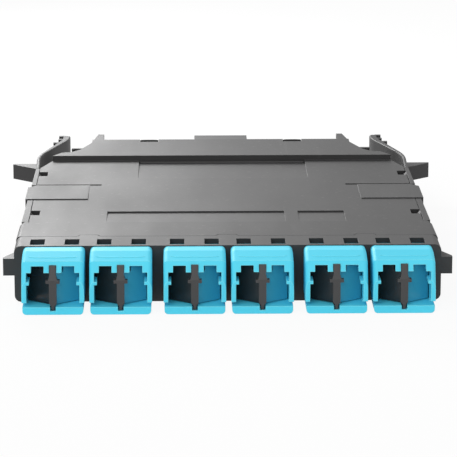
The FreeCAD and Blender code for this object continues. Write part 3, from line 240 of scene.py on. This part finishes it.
class Effects:
    """The shared node groups, each made once."""

    NUMBER = "NodeSocketFloat"
    VECTOR = "NodeSocketVector"
    BROAD_PITS = 0.31                      # broad pits to one fine pit, along a line
    FLOW_STRETCH = (1.0, 0.35, 1.0)
    FLOW_SPAN = (0.3, 0.7)
    STREAK_STRETCH = (1.0, 0.06, 1.0)
    STREAK_TURN = math.radians(17.0)
    STREAK_SPAN = (0.62, 0.74)
    PATCHES = 0.11                         # rubbed patches to one streak, along a line
    PATCH_SPAN = (0.5, 0.66)
    UPWARD_SPAN = (0.4, 1.0)
    SPECK_SPAN = (0.64, 0.76)
    BEVEL_SAMPLES = 6
    TURN_SPAN = (0.002, 0.035)

    def __init__(self) -> None:
        """Make all the groups."""
        self.trees = {
            Effect.GRAIN: self.moulded_grain(),
            Effect.FLOW: self.flow_marks(),
            Effect.SCUFFS: self.handling_scuffs(),
            Effect.DUST: self.settled_dust(),
            Effect.EDGES: self.moulded_edges(),
        }

    @classmethod
    def begin(cls, effect: Effect, inputs: dict[str, float | None],
              outputs: dict[str, str]) -> tuple[Graph, bpy.types.Node, bpy.types.Node]:
        """Start a group.

        Args:
            effect: the effect, which names the group.
            inputs: its number inputs with their usual values, and its vector inputs with none.
            outputs: its outputs with the kind of each.

        Returns:
            The group's graph, its input node and its output node.
        """
        tree = bpy.data.node_groups.new(effect.value, "ShaderNodeTree")
        for name, value in inputs.items():
            kind = cls.VECTOR if value is None else cls.NUMBER
            socket = tree.interface.new_socket(name=name, in_out="INPUT", socket_type=kind)
            if value is not None:
                socket.default_value = value
        for name, kind in outputs.items():
            tree.interface.new_socket(name=name, in_out="OUTPUT", socket_type=kind)
        graph = Graph(tree)
        return graph, graph.add("NodeGroupInput"), graph.add("NodeGroupOutput")

    def moulded_grain(self) -> bpy.types.NodeTree:
        """Spark-eroded grain: fine pits over slightly larger ones."""
        graph, entry, end = self.begin(
            Effect.GRAIN, {"Vector": None, "Grains": 3000.0, "Coarseness": 0.35},
            {"Height": self.NUMBER})
        where, grains = entry.outputs["Vector"], entry.outputs["Grains"]
        fine = graph.noise(where, grains, 3.0, 0.6)
        broad = graph.noise(where, graph.maths("MULTIPLY", grains, self.BROAD_PITS), 2.0)
        height = graph.between(entry.outputs["Coarseness"], fine, broad)
        graph.feed(end.inputs["Height"], height)
        return graph.tree

    def flow_marks(self) -> bpy.types.NodeTree:
        """Soft clouds drawn out along Y, as plastic cools along its flow."""
        graph, entry, end = self.begin(
            Effect.FLOW, {"Vector": None, "Clouds": 60.0}, {"Tone": self.NUMBER})
        where = graph.stretched(entry.outputs["Vector"], self.FLOW_STRETCH)
        cloud = graph.noise(where, entry.outputs["Clouds"], 4.0, 0.55)
        graph.feed(end.inputs["Tone"], graph.spread(cloud, self.FLOW_SPAN))
        return graph.tree

    def handling_scuffs(self) -> bpy.types.NodeTree:
        """Thin rubbed streaks: stretched noise cut at a high level, broken up by clouds."""
        graph, entry, end = self.begin(
            Effect.SCUFFS, {"Vector": None, "Streaks": 260.0, "Cover": 0.3},
            {"Mask": self.NUMBER})
        where, streaks = entry.outputs["Vector"], entry.outputs["Streaks"]
        drawn = graph.stretched(where, self.STREAK_STRETCH, self.STREAK_TURN)
        lines = graph.spread(graph.noise(drawn, streaks, 5.0, 0.62), self.STREAK_SPAN)
        patch = graph.noise(where, graph.maths("MULTIPLY", streaks, self.PATCHES), 2.0)
        mask = graph.maths("MULTIPLY", lines, graph.spread(patch, self.PATCH_SPAN))
        graph.feed(end.inputs["Mask"], graph.maths("MULTIPLY", mask, entry.outputs["Cover"]))
        return graph.tree

    def settled_dust(self) -> bpy.types.NodeTree:
        """Pale specks on faces that look up."""
        graph, entry, end = self.begin(
            Effect.DUST, {"Vector": None, "Specks": 900.0, "Cover": 0.3}, {"Mask": self.NUMBER})
        geometry = graph.add("ShaderNodeNewGeometry")
        parts = graph.add("ShaderNodeSeparateXYZ")
        graph.feed(parts.inputs[0], geometry.outputs["Normal"])
        upward = graph.spread(parts.outputs["Z"], self.UPWARD_SPAN)
        cloud = graph.noise(entry.outputs["Vector"], entry.outputs["Specks"], 2.0)
        mask = graph.maths("MULTIPLY", upward, graph.spread(cloud, self.SPECK_SPAN))
        graph.feed(end.inputs["Mask"], graph.maths("MULTIPLY", mask, entry.outputs["Cover"]))
        return graph.tree

    def moulded_edges(self) -> bpy.types.NodeTree:
        """A small radius on every edge: the rounded normal, and a mask of where it turns away,
        which places the painted edge highlight.

        The mask is one minus the dot product of the rounded and the flat normal, spread so that
        a turn of about fifteen degrees already counts in full.
        """
        graph, entry, end = self.begin(
            Effect.EDGES, {"Radius": 0.0001}, {"Normal": self.VECTOR, "Mask": self.NUMBER})
        bevel = graph.add("ShaderNodeBevel", samples=self.BEVEL_SAMPLES)
        graph.feed(bevel.inputs["Radius"], entry.outputs["Radius"])
        flat = graph.add("ShaderNodeNewGeometry")
        dot = graph.add("ShaderNodeVectorMath", operation="DOT_PRODUCT")
        graph.feed(dot.inputs[0], bevel.outputs["Normal"])
        graph.feed(dot.inputs[1], flat.outputs["Normal"])
        turn = graph.maths("SUBTRACT", 1.0, dot.outputs["Value"])
        graph.feed(end.inputs["Normal"], bevel.outputs["Normal"])
        graph.feed(end.inputs["Mask"], graph.spread(turn, self.TURN_SPAN))
        return graph.tree

    def place(self, graph: Graph, effect: Effect,
              **values: object) -> bpy.types.bpy_prop_collection:
        """Place a group in a material.

        Args:
            graph: the material's graph.
            effect: the effect to place.
            values: its inputs by name, each a socket or a number.

        Returns:
            The group's outputs by name.
        """
        node = graph.add("ShaderNodeGroup", node_tree=self.trees[effect])
        for name, value in values.items():
            graph.feed(node.inputs[name], value)
        return node.outputs


# ------------------------------------------------------------------ finishes

@dataclass(frozen=True)
class Plastic:
    """A moulded plastic: its colour, flow marks, grain, scuffs, dust, rounded edges and a painted
    highlight along them.

    Lengths are in metres, and grains and clouds are counted to a metre.
    """

    name: str
    colour: Colour
    tone: Colour
    roughness: float
    roughness_spread: float = 0.05
    grains: float = 2600.0
    grain_depth: float = 0.00002
    clouds: float = 70.0
    scuffs: float = 0.25
    scuff_colour: Colour = (0.5, 0.5, 0.5)
    dust: float = 0.1
    specular: float = 0.5
    coat: float = 0.0
    edge_radius: float = 0.00010
    # The edge colour, mixed in along every edge by the edge share, is a painted highlight.
    edge_highlight_colour: Colour = (0.5, 0.5, 0.5)
    edge_highlight_share: float = 0.08

    def build(self, effects: Effects) -> bpy.types.Material:
        """Make the material.

        Args:
            effects: the shared groups.

        Returns:
            The material, on Object coordinates.
        """
        material = bpy.data.materials.new(self.name)
        material.use_nodes = True
        graph = Graph(material.node_tree)
        where = graph.add("ShaderNodeTexCoord").outputs["Object"]
        tone = effects.place(graph, Effect.FLOW, Vector=where, Clouds=self.clouds)["Tone"]
        scuffs = effects.place(graph, Effect.SCUFFS, Vector=where, Cover=self.scuffs)["Mask"]
        dust = effects.place(graph, Effect.DUST, Vector=where, Cover=self.dust)["Mask"]
        grain = effects.place(graph, Effect.GRAIN, Vector=where, Grains=self.grains)["Height"]
        edges = effects.place(graph, Effect.EDGES, Radius=self.edge_radius)
        plain = graph.blend(tone, colour4(self.colour), colour4(self.tone))
        rubbed = graph.blend(scuffs, plain, colour4(self.scuff_colour))
        # Painted highlight: the edge colour is mixed into the base colour along every edge.
        painted_highlight_share = graph.maths("MULTIPLY", edges["Mask"], self.edge_highlight_share)
        edge_highlighted = graph.blend(painted_highlight_share, rubbed, colour4(self.edge_highlight_colour))
        rough = graph.spread(tone, (0.0, 1.0), self.roughness - self.roughness_spread,
                             self.roughness + self.roughness_spread)
        rubbed_rough = graph.maths("MULTIPLY", scuffs, SCUFF_ROUGHNESS)
        shader = graph.add("ShaderNodeBsdfPrincipled")
        graph.feed(shader.inputs["Base Color"], graph.blend(dust, edge_highlighted, colour4(DUST_COLOUR)))
        graph.feed(shader.inputs["Roughness"], graph.maths("ADD", rough, rubbed_rough))
        shader.inputs["Specular IOR Level"].default_value = self.specular
        shader.inputs["Coat Weight"].default_value = self.coat
        bump = graph.add("ShaderNodeBump")
        bump.inputs["Distance"].default_value = self.grain_depth
        bump.inputs["Strength"].default_value = GRAIN_STRENGTH
        graph.feed(bump.inputs["Height"], grain)
        graph.feed(bump.inputs["Normal"], edges["Normal"])
        graph.feed(shader.inputs["Normal"], bump.outputs["Normal"])
        out = graph.add("ShaderNodeOutputMaterial")
        graph.feed(out.inputs["Surface"], shader.outputs["BSDF"])
        return material


class Finish(Enum):
    """The finishes of the cassette."""

    HOUSING = Plastic(
        "charcoal_housing", (0.0185, 0.018, 0.0185), (0.0225, 0.022, 0.0225), 0.58,
        scuff_colour=(0.16, 0.16, 0.16), scuffs=0.2, dust=0.05)
    # The adapter's near-white aqua edge colour, at half strength, is a painted highlight along its
    # edges.
    ADAPTER = Plastic(
        "aqua_adapter", (0.084, 0.67, 0.88), (0.094, 0.71, 0.92), 0.60,
        specular=0.35, grain_depth=0.00001, edge_radius=0.00022, edge_highlight_colour=(0.34, 0.97, 1.0),
        edge_highlight_share=0.5, scuff_colour=(0.5, 0.85, 0.95), scuffs=0.12, dust=0.03)
    POST = Plastic(
        "black_post", (0.036, 0.036, 0.037), (0.042, 0.042, 0.043), 0.5,
        scuffs=0.05, dust=0.0)
    DARK_SHUTTER = Plastic(
        "black_shutter", (0.012, 0.013, 0.014), (0.015, 0.016, 0.018), 0.3,
        grain_depth=0.000005, scuffs=0.05, dust=0.0)
    # Painted reflection: the right leaf's teal colour stands for the lit aqua wall of the port
    # mirrored in a glossy dark leaf.
    PAINTED_REFLECTION_SHUTTER = Plastic(
        "teal_shutter", (0.040, 0.34, 0.49), (0.046, 0.37, 0.53), 0.34,
        grain_depth=0.000005, scuffs=0.05, dust=0.0)
    CERAMIC = Plastic(
        "zirconia_sleeve", (0.86, 0.85, 0.80), (0.90, 0.89, 0.86), 0.16,
        grain_depth=0.000002, scuffs=0.0, dust=0.0, coat=0.3)
    INNER_PLUG = Plastic(
        "cream_plug", (0.68, 0.64, 0.52), (0.72, 0.68, 0.57), 0.4,
        scuffs=0.05, dust=0.0)
    REAR_PLUG = Plastic(
        "black_plug", (0.022, 0.022, 0.024), (0.028, 0.028, 0.03), 0.38,
        scuffs=0.05, dust=0.0)
    FIBRE = Plastic(
        "aqua_fibre", (0.06, 0.45, 0.52), (0.07, 0.50, 0.57), 0.3,
        grain_depth=0.000004, scuffs=0.0, dust=0.0)
    REAR_ADAPTER = Plastic(
        "charcoal_adapter", (0.026, 0.026, 0.027), (0.031, 0.031, 0.032), 0.52,
        scuffs=0.1, dust=0.03)


class Wardrobe:
    """Makes each finish once and dresses pieces in it."""

    def __init__(self, effects: Effects) -> None:
        """Make all the finishes.

        Args:
            effects: the shared groups.
        """
        self.materials = {finish: finish.value.build(effects) for finish in Finish}

    def dress(self, piece: bpy.types.Object, finish: Finish) -> None:
        """Give a piece its finish.

        Args:
            piece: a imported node's object or a new piece.
            finish: the finish it gets.
        """
        piece.data.materials.clear()
        piece.data.materials.append(self.materials[finish])
        log.info("%s wears %s", piece.name, finish.value.name)


# ------------------------------------------------------------------ skins

def along(count: int) -> np.ndarray:
    """Places from -1 to 1 as a column, closer together towards the ends."""
    return np.sin(np.linspace(-math.pi / 2, math.pi / 2, count))[:, None]


def full_turn(count: int) -> np.ndarray:
    """Even angles round a full turn, as a row without the last one."""
    return np.linspace(0.0, 2.0 * math.pi, count, endpoint=False)[None, :]


def closing(places: np.ndarray, power: int) -> np.ndarray:
    """A width that closes at -1 and 1: the square root of 1 minus the place to a power."""
    return np.sqrt(np.clip(1.0 - places ** power, 0.0, 1.0))


def keep_sign(values: np.ndarray, power: float) -> np.ndarray:
    """Raise values to a power and keep their sign."""
    return np.sign(values) * np.abs(values) ** power


def mesh_object(name: str, corners: np.ndarray, faces: list[list[int]]) -> bpy.types.Object:
    """Make an object from corners and faces and link it to the scene.

    Args:
        name: the object's name.
        corners: the corners, each with three numbers.
        faces: the corners of each face, by number.

    Returns:
        The object.
    """
    mesh = bpy.data.meshes.new(name)
    mesh.from_pydata(corners.tolist(), [], faces)
    thing = bpy.data.objects.new(name, mesh)
    bpy.context.scene.collection.objects.link(thing)
    return thing


def open_sheet(name: str, points: np.ndarray) -> bpy.types.Object:
    """Make an open sheet from a grid of points.

    Args:
        name: the object's name.
        points: rows by columns by three. Each cell between neighbours becomes one face.

    Returns:
        The object, linked to the scene.
    """
    rows, columns = points.shape[:2]
    index = np.arange(rows * columns).reshape(rows, columns)
    faces = np.stack([index[:-1, :-1], index[1:, :-1], index[1:, 1:], index[:-1, 1:]], axis=-1)
    return mesh_object(name, points.reshape(-1, 3), faces.reshape(-1, 4).tolist())


def closed_tube(name: str, points: np.ndarray) -> bpy.types.Object:
    """Make a closed skin from rings whose first and last ring have shrunk to a point.

    Args:
        name: the object's name.
        points: rings by points round by three.

    Returns:
        The object, smooth shaded, with its faces outwards.
    """
    rings, around = points.shape[:2]
    inner = points[1:-1].reshape(-1, 3)
    corners = np.concatenate([inner, points[:1, 0], points[-1:, 0]])
    index = np.arange(len(inner)).reshape(rings - 2, around)
    ahead = np.roll(index, -1, axis=1)
    sides = np.stack([index[:-1], index[1:], ahead[1:], ahead[:-1]], axis=-1).reshape(-1, 4)
    start = np.stack([np.full(around, len(inner)), index[0], ahead[0]], axis=-1)
    end = np.stack([np.full(around, len(inner) + 1), ahead[-1], index[-1]], axis=-1)
    thing = mesh_object(name, corners, sides.tolist() + start.tolist() + end.tolist())
    shape = bmesh.new()
    shape.from_mesh(thing.data)
    bmesh.ops.recalc_face_normals(shape, faces=shape.faces)
    shape.to_mesh(thing.data)
    shape.free()
    thing.data.polygons.foreach_set("use_smooth", np.ones(len(thing.data.polygons), bool))
    return thing


# ------------------------------------------------------------------ the cassette

@dataclass
class PackedNodes:
    """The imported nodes, each shown as it is in its own finish."""

    wardrobe: Wardrobe
    single: dict[str, Finish] = field(default_factory=lambda: {
        "front_frame": Finish.HOUSING,
        "base_shell": Finish.HOUSING,
        "top_cover": Finish.HOUSING,
        "release_arm_left": Finish.HOUSING,
        "release_arm_right": Finish.HOUSING,
        "rear_adapter": Finish.REAR_ADAPTER,
        "multi_fibre_plug": Finish.REAR_PLUG,
        "fanout_block": Finish.REAR_PLUG,
        "ribbon_tube": Finish.FIBRE,
    })
    numbered: dict[str, Finish] = field(default_factory=lambda: {
        "adapter_body": Finish.ADAPTER,
        "shutter_post": Finish.POST,
        "shutter_left": Finish.DARK_SHUTTER,
        "shutter_right": Finish.PAINTED_REFLECTION_SHUTTER,
        "sleeve_pair": Finish.CERAMIC,
        "inner_plug_pair": Finish.INNER_PLUG,
        "fibre_pair": Finish.FIBRE,
    })

    def build(self) -> None:
        """Dress every node."""
        nodes = dict(self.single)
        for number in range(1, ADAPTER_COUNT + 1):
            nodes.update({f"{stem}_{number}": finish for stem, finish in self.numbered.items()})
        for node, finish in nodes.items():
            self.wardrobe.dress(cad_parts[node], finish)


@dataclass
class BrowRules:
    """A thin raised rule across the leaning top of each adapter, half sunk into it.

    The rule follows a line across X whose ends turn up the slope. Its section is an ellipse that
    narrows to a point at both ends. The slope runs from the brow to the crown, which are given
    as the distance behind the front of the lip and the height.
    """

    wardrobe: Wardrobe
    half_length: float = 0.0050
    half_width: float = 0.00011
    half_height: float = 0.00007
    end_turn: float = 0.00045
    turn_power: int = 10
    close_power: int = 30
    brow: Span = (0.00205, 0.0107)
    crown: Span = (0.0063, 0.01175)
    share_up: float = 0.37
    rings: int = 61
    around: int = 12

    def surface(self, middle: float, front: float) -> np.ndarray:
        """Work out the rule's skin over (along, round).

        With t from -1 to 1 along and a from 0 to a full turn round: the line is x = middle + t
        times the half length, and climbs the slope by the end turn times t to the turn power. A
        point is the line's plus taper times (half width times cos a up the slope, half height
        times sin a off the face), where taper is the square root of 1 minus t to the close power.

        Args:
            middle: the adapter's middle in X.
            front: the front of its lip in Y.

        Returns:
            Rings by points by three.
        """
        run = np.array(self.crown) - np.array(self.brow)
        up_slope = np.array([0.0, *run]) / np.linalg.norm(run)
        off_face = np.array([0.0, -run[1], run[0]]) / np.linalg.norm(run)
        seat = np.array(self.brow) + self.share_up * run
        t, angle = along(self.rings), full_turn(self.around)
        taper = closing(t, self.close_power)
        line = np.stack([middle + t * self.half_length, np.full_like(t, front + seat[0]),
                         np.full_like(t, seat[1])], axis=-1)
        climb = (self.end_turn * t ** self.turn_power)[..., None] * up_slope
        wide = (taper * self.half_width * np.cos(angle))[..., None] * up_slope
        high = (taper * self.half_height * np.sin(angle))[..., None] * off_face
        return line + climb + wide + high

    def build(self) -> None:
        """Make and dress the rule of every adapter."""
        for number in range(1, ADAPTER_COUNT + 1):
            low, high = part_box(f"adapter_body_{number}")
            rule = closed_tube(f"brow_rule_{number}", self.surface((low.x + high.x) / 2, low.y))
            self.wardrobe.dress(rule, Finish.ADAPTER)
            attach(rule, "housing")


@dataclass
class FieldLedge:
    """The low ledge that ends the dished field of the cover just before the step.

    The step's place is counted from the very front of the cassette.
    """

    wardrobe: Wardrobe
    half_length: float = 0.01938
    step_place: float = 0.0885
    forward: float = 0.0012
    seat: float = 0.00005
    sunk: float = 0.00002
    half_height: float = 0.00043
    close_power: int = 200
    rings: int = 61
    around: int = 24

    def surface(self, step: float, roof: float) -> np.ndarray:
        """Work out the ledge's skin over (along, round).

        With t from -1 to 1 along, x is t times the half length. Its section is the front half of
        a rounded box: with an angle a from minus to plus a quarter turn, a point lies forward of
        the back by forward times the square root of cos a, and above the middle by half height
        times the square root of sin a, keeping its sign. Both are multiplied by the square root
        of 1 minus t to the close power, which closes the ends. The back is seated in the step.

        Args:
            step: the front of the cover's step in Y.
            roof: the height of the cover before the step.

        Returns:
            Rings by points by three.
        """
        t = along(self.rings)
        angle = np.linspace(-math.pi / 2, math.pi / 2, self.around)[None, :]
        depth = np.sqrt(np.clip(np.cos(angle), 0.0, 1.0))
        taper = closing(t, self.close_power)
        front = step + self.seat - taper * (self.forward + self.seat) * depth
        up = (roof - self.sunk - self.half_height
              + taper * self.half_height * keep_sign(np.sin(angle), 0.5))
        return np.stack([np.broadcast_to(t * self.half_length, front.shape), front, up], axis=-1)

    def build(self) -> None:
        """Make and dress the ledge."""
        step = CAD_BOX[0][1] + self.step_place
        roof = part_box("front_frame")[1].z
        ledge = closed_tube("field_ledge", self.surface(step, roof))
        self.wardrobe.dress(ledge, Finish.HOUSING)
        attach(ledge, "housing")


@dataclass
class CatchHooks:
    """The upturned ends of the two rear catches, which close the notches of the cover."""

    wardrobe: Wardrobe
    middle: float = 0.01715
    half_width: float = 0.0022
    half_thickness: float = 0.00015
    seat: float = 0.0003
    reach: float = 0.0019
    below: float = 0.00092
    rise: float = 0.0009
    box_power: float = 0.25
    close_power: int = 30
    rings: int = 61
    around: int = 40

    def surface(self, middle: float, wall: float, roof: float) -> np.ndarray:
        """Work out one hook's skin over (along, round).

        With t from 0 to 1 along: the line starts by the seat before the wall's back and by below
        under the roof, goes back by reach times (1 minus the cube of 1 minus t) and rises by
        rise times t cubed. Round it, with a full turn a, a point is half width times the fourth
        root of cos a along X and half thickness times the fourth root of sin a off the line,
        both keeping their sign. Both are multiplied by the square root of 1 minus (2t - 1) to
        the close power, which rounds and closes the ends.

        Args:
            middle: the hook's middle in X.
            wall: the back of the base shell in Y.
            roof: the top of the cover.

        Returns:
            Rings by points by three.
        """
        place, angle = along(self.rings), full_turn(self.around)
        t = (1.0 + place) / 2.0
        taper = closing(place, self.close_power)
        wide = taper * self.half_width * keep_sign(np.cos(angle), self.box_power)
        thick = taper * self.half_thickness * keep_sign(np.sin(angle), self.box_power)
        run_back, run_up = self.reach * (1.0 - t) ** 2, self.rise * t ** 2
        length = np.hypot(run_back, run_up)
        back = wall - self.seat + self.reach * (1.0 - (1.0 - t) ** 3) - thick * run_up / length
        up = roof - self.below + self.rise * t ** 3 + thick * run_back / length
        return np.stack([middle + wide, back, up], axis=-1)

    def build(self) -> None:
        """Make and dress both hooks."""
        wall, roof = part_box("base_shell")[1].y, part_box("top_cover")[1].z
        for side, middle in (("left", -self.middle), ("right", self.middle)):
            hook = closed_tube(f"catch_hook_{side}", self.surface(middle, wall, roof))
            self.wardrobe.dress(hook, Finish.HOUSING)
            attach(hook, "housing")


# ------------------------------------------------------------------ studio

@dataclass(frozen=True)
class Viewpoint:
    """The camera: where it stands, how many degrees it looks down and right, and its lens."""

    place: Point = (-0.00992, -0.58664, 0.15257)
    down: float = 14.286
    right: float = 1.067
    lens: float = 212.7
    sensor: float = 36.0
    near: float = 0.01
    far: float = 50.0

    def build(self) -> None:
        """Make the camera and make it the scene's own."""
        data = bpy.data.cameras.new("viewpoint")
        data.lens = self.lens
        data.sensor_width = self.sensor
        data.clip_start = self.near
        data.clip_end = self.far
        camera = bpy.data.objects.new("viewpoint", data)
        camera.location = self.place
        camera.rotation_euler = (math.radians(90.0 - self.down), 0.0, math.radians(-self.right))
        bpy.context.scene.collection.objects.link(camera)
        bpy.context.scene.camera = camera


@dataclass(frozen=True)
class Softbox:
    """A soft rectangular lamp that looks at a point."""

    name: str
    place: Point
    target: Point
    width: float
    height: float
    radiance: float

    def build(self) -> None:
        """Make the lamp. Its power is radiance times pi times its area."""
        data = bpy.data.lights.new(self.name, "AREA")
        data.shape = "RECTANGLE"
        data.size = self.width
        data.size_y = self.height
        data.energy = self.radiance * math.pi * self.width * self.height
        lamp = bpy.data.objects.new(self.name, data)
        lamp.location = self.place
        aim = Vector(self.target) - Vector(self.place)
        lamp.rotation_euler = aim.to_track_quat("-Z", "Y").to_euler()
        lamp.visible_camera = False
        bpy.context.scene.collection.objects.link(lamp)


@dataclass
class Studio:
    """A pale floor, a pale surround and soft lamps."""

    viewpoint: Viewpoint = Viewpoint()
    floor_half: float = 4.0
    floor_drop: float = 0.00001
    floor_lines: int = 9
    floor_colour: Colour = (0.84, 0.84, 0.84)
    floor_share: float = 0.92
    ambient: float = 0.62
    lamps: tuple[Softbox, ...] = (
        Softbox("rear_softbox", (-0.105, 0.25, 0.14), (-0.03, 0.0, 0.01), 0.14, 0.10, 17.0),
        Softbox("front_softbox", (-0.35, -0.75, 0.55), (0.0, -0.04, 0.0), 0.7, 0.5, 3.0),
    )

    @staticmethod
    def pale_share(graph: Graph) -> Socket:
        """Whether a ray comes from the camera or off something glossy or clear.

        Args:
            graph: the graph it is worked out in.

        Returns:
            One for such a ray and zero for any other.
        """
        path = graph.add("ShaderNodeLightPath")
        shown = graph.maths("MAXIMUM", path.outputs["Is Camera Ray"],
                            path.outputs["Is Glossy Ray"])
        return graph.maths("MAXIMUM", shown, path.outputs["Is Transmission Ray"])

    def build_floor(self) -> None:
        """A flat square just under the cassette.

        x and y run evenly from minus to plus the half width, and z is minus the drop.
        """
        line = np.linspace(-self.floor_half, self.floor_half, self.floor_lines)
        across, back = np.meshgrid(line, line, indexing="ij")
        points = np.stack([across, back, np.full_like(across, -self.floor_drop)], axis=-1)
        floor = open_sheet("studio_floor", points)
        material = bpy.data.materials.new("pale_floor")
        material.use_nodes = True
        graph = Graph(material.node_tree)
        plain = graph.add("ShaderNodeBsdfDiffuse")
        plain.inputs["Color"].default_value = colour4(self.floor_colour)
        glow = graph.add("ShaderNodeEmission")
        glow.inputs["Color"].default_value = colour4(WHITE)
        mix = graph.add("ShaderNodeMixShader")
        graph.feed(mix.inputs[0],
                   graph.maths("MULTIPLY", self.pale_share(graph), self.floor_share))
        graph.feed(mix.inputs[1], plain.outputs[0])
        graph.feed(mix.inputs[2], glow.outputs[0])
        out = graph.add("ShaderNodeOutputMaterial")
        graph.feed(out.inputs["Surface"], mix.outputs[0])
        floor.data.materials.append(material)

    def build_world(self) -> None:
        """A plain surround: white to the camera and in reflections, a level lower as a light."""
        world = bpy.data.worlds.new("pale_surround")
        world.use_nodes = True
        graph = Graph(world.node_tree)
        level = graph.between(self.pale_share(graph), self.ambient, 1.0)
        sky = graph.add("ShaderNodeBackground")
        sky.inputs["Color"].default_value = colour4(WHITE)
        graph.feed(sky.inputs["Strength"], level)
        out = graph.add("ShaderNodeOutputWorld")
        graph.feed(out.inputs["Surface"], sky.outputs[0])
        bpy.context.scene.world = world

    def build(self) -> None:
        """Build the camera, the surround, the floor and the lamps."""
        self.viewpoint.build()
        self.build_world()
        self.build_floor()
        for lamp in self.lamps:
            lamp.build()
        bpy.context.scene.view_settings.view_transform = "Standard"
        log.info("studio ready with %d lamps", len(self.lamps))


def main() -> None:
    """Build the studio and dress the cassette."""
    logging.basicConfig(level=logging.INFO, format="%(name)s: %(message)s")
    Studio().build()
    wardrobe = Wardrobe(Effects())
    for assembly in (PackedNodes(wardrobe), BrowRules(wardrobe), FieldLedge(wardrobe),
                     CatchHooks(wardrobe)):
        assembly.build()


if __name__ == "__main__":
    main()
